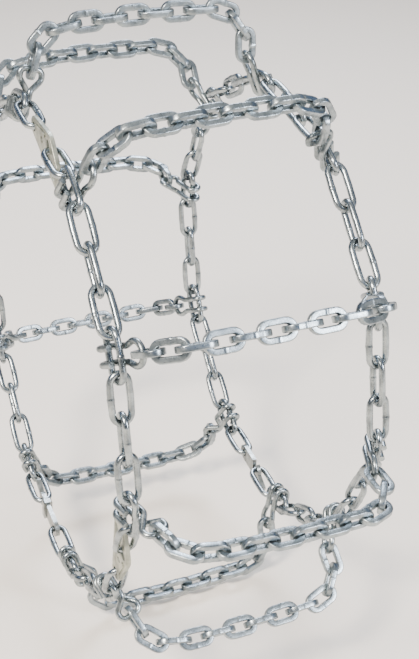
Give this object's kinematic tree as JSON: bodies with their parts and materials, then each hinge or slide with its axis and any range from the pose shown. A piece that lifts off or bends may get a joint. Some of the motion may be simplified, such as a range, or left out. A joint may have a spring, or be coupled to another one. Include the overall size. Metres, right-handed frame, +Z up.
{
  "type": "tire snow chains",
  "caption": "Ladder-pattern snow chain for one tyre: side chains, square-rod cross chains on wire hooks, tightening cams and a lever fastener, in its fitted shape.",
  "frame": {"origin": "centre of the wheel that the chain is fitted round", "axes": "+Y along the wheel's axis towards the car, -Y the outboard side with the cams, +Z up"},
  "size_m": [0.8231, 0.347, 0.8246],
  "materials": {
    "side_chain_zinc": "bright zinc plated steel",
    "cross_chain_zinc": "bright zinc plated steel, square rod",
    "hook_zinc": "bright zinc plated steel wire",
    "cam_zinc": "dull zinc plate, greenish cream",
    "latch_zinc": "zinc plated steel"
  },
  "bodies": {
    "side_chains": {"outer_side_links_1": "side_chain_zinc", "inner_side_links_1": "side_chain_zinc", "outer_side_links_2": "side_chain_zinc", "inner_side_links_2": "side_chain_zinc", "outer_side_links_3": "side_chain_zinc", "inner_side_links_3": "side_chain_zinc", "outer_side_links_4": "side_chain_zinc", "inner_side_links_4": "side_chain_zinc", "outer_side_links_5": "side_chain_zinc", "inner_side_links_5": "side_chain_zinc", "outer_side_links_6": "side_chain_zinc", "inner_side_links_6": "side_chain_zinc", "outer_side_links_7": "side_chain_zinc", "inner_side_links_7": "side_chain_zinc", "outer_side_links_8": "side_chain_zinc", "inner_side_links_8": "side_chain_zinc", "outer_side_links_9": "side_chain_zinc", "inner_side_links_9": "side_chain_zinc", "outer_side_links_10": "side_chain_zinc", "inner_side_links_10": "side_chain_zinc"},
    "cross_chain_1": {"cross_links_1": "cross_chain_zinc", "outer_hook_1": "hook_zinc", "inner_hook_1": "hook_zinc"},
    "cross_chain_2": {"cross_links_2": "cross_chain_zinc", "outer_hook_2": "hook_zinc", "inner_hook_2": "hook_zinc"},
    "cross_chain_3": {"cross_links_3": "cross_chain_zinc", "outer_hook_3": "hook_zinc", "inner_hook_3": "hook_zinc"},
    "cross_chain_4": {"cross_links_4": "cross_chain_zinc", "outer_hook_4": "hook_zinc", "inner_hook_4": "hook_zinc"},
    "cross_chain_5": {"cross_links_5": "cross_chain_zinc", "outer_hook_5": "hook_zinc", "inner_hook_5": "hook_zinc"},
    "cross_chain_6": {"cross_links_6": "cross_chain_zinc", "outer_hook_6": "hook_zinc", "inner_hook_6": "hook_zinc"},
    "cross_chain_7": {"cross_links_7": "cross_chain_zinc", "outer_hook_7": "hook_zinc", "inner_hook_7": "hook_zinc"},
    "cross_chain_8": {"cross_links_8": "cross_chain_zinc", "outer_hook_8": "hook_zinc", "inner_hook_8": "hook_zinc"},
    "cross_chain_9": {"cross_links_9": "cross_chain_zinc", "outer_hook_9": "hook_zinc", "inner_hook_9": "hook_zinc"},
    "cross_chain_10": {"cross_links_10": "cross_chain_zinc", "outer_hook_10": "hook_zinc", "inner_hook_10": "hook_zinc"},
    "cam_1": {"cam_1": "cam_zinc"},
    "cam_2": {"cam_2": "cam_zinc"},
    "cam_3": {"cam_3": "cam_zinc"},
    "lever_hook": {"lever_hook": "latch_zinc"},
    "inner_latch": {"inner_latch": "latch_zinc"},
    "keeper_ring": {"keeper_ring": "latch_zinc"}
  },
  "joints": [
    {"name": "cross_chain_1_sway", "type": "hinge", "parent": "side_chains", "child": "cross_chain_1", "pos_m": [-0.05014, -0.16113, 0.30288], "axis": [0.0217, 0.9992, -0.0332], "range_deg": [-2.5, 2.5]},
    {"name": "cross_chain_2_sway", "type": "hinge", "parent": "side_chains", "child": "cross_chain_2", "pos_m": [0.14696, -0.16113, 0.26954], "axis": [-0.0314, 0.9992, -0.0242], "range_deg": [-2.5, 2.5]},
    {"name": "cross_chain_3_sway", "type": "hinge", "parent": "side_chains", "child": "cross_chain_3", "pos_m": [0.27419, -0.16113, 0.1381], "axis": [-0.0299, 0.9993, -0.021], "range_deg": [-2.5, 2.5]},
    {"name": "cross_chain_4_sway", "type": "hinge", "parent": "side_chains", "child": "cross_chain_4", "pos_m": [0.30407, -0.16113, -0.04237], "axis": [-0.0398, 0.999, -0.0213], "range_deg": [-2.5, 2.5]},
    {"name": "cross_chain_5_sway", "type": "hinge", "parent": "side_chains", "child": "cross_chain_5", "pos_m": [0.21352, -0.16113, -0.22059], "axis": [-0.0213, 0.9993, 0.0297], "range_deg": [-2.5, 2.5]},
    {"name": "cross_chain_6_sway", "type": "hinge", "parent": "side_chains", "child": "cross_chain_6", "pos_m": [0.05014, -0.16113, -0.30288], "axis": [-0.0217, 0.9992, 0.0332], "range_deg": [-2.5, 2.5]},
    {"name": "cross_chain_7_sway", "type": "hinge", "parent": "side_chains", "child": "cross_chain_7", "pos_m": [-0.14696, -0.16113, -0.26954], "axis": [0.0314, 0.9992, 0.0242], "range_deg": [-2.5, 2.5]},
    {"name": "cross_chain_8_sway", "type": "hinge", "parent": "side_chains", "child": "cross_chain_8", "pos_m": [-0.27419, -0.16113, -0.1381], "axis": [0.0299, 0.9993, 0.021], "range_deg": [-2.5, 2.5]},
    {"name": "cross_chain_9_sway", "type": "hinge", "parent": "side_chains", "child": "cross_chain_9", "pos_m": [-0.30109, -0.16113, 0.05998], "axis": [0.0306, 0.999, -0.0333], "range_deg": [-2.5, 2.5]},
    {"name": "cross_chain_10_sway", "type": "hinge", "parent": "side_chains", "child": "cross_chain_10", "pos_m": [-0.21352, -0.16113, 0.22059], "axis": [0.0213, 0.9993, -0.0297], "range_deg": [-2.5, 2.5]},
    {"name": "cam_1_turn", "type": "hinge", "parent": "side_chains", "child": "cam_1", "pos_m": [0.02383, -0.158, 0.30807], "axis": [0, 1, 0], "range_deg": [0, 7]},
    {"name": "cam_2_turn", "type": "hinge", "parent": "side_chains", "child": "cam_2", "pos_m": [0.26172, -0.158, -0.16425], "axis": [0, -1, 0], "range_deg": [0, 7]},
    {"name": "cam_3_turn", "type": "hinge", "parent": "side_chains", "child": "cam_3", "pos_m": [-0.30118, -0.158, -0.06904], "axis": [0, 1, 0], "range_deg": [0, 7]},
    {"name": "lever_hook_swing", "type": "hinge", "parent": "side_chains", "child": "lever_hook", "pos_m": [-0.02383, -0.158, -0.30807], "axis": [0, 1, 0], "range_deg": [0, 30]},
    {"name": "inner_latch_swing", "type": "hinge", "parent": "side_chains", "child": "inner_latch", "pos_m": [-0.06833, 0.158, -0.29069], "axis": [0, 1, 0], "range_deg": [0, 30]},
    {"name": "keeper_ring_slide", "type": "slide", "parent": "lever_hook", "child": "keeper_ring", "axis": [0.986, 0, -0.1668], "range_m": [0, 0.018]}
  ]
}
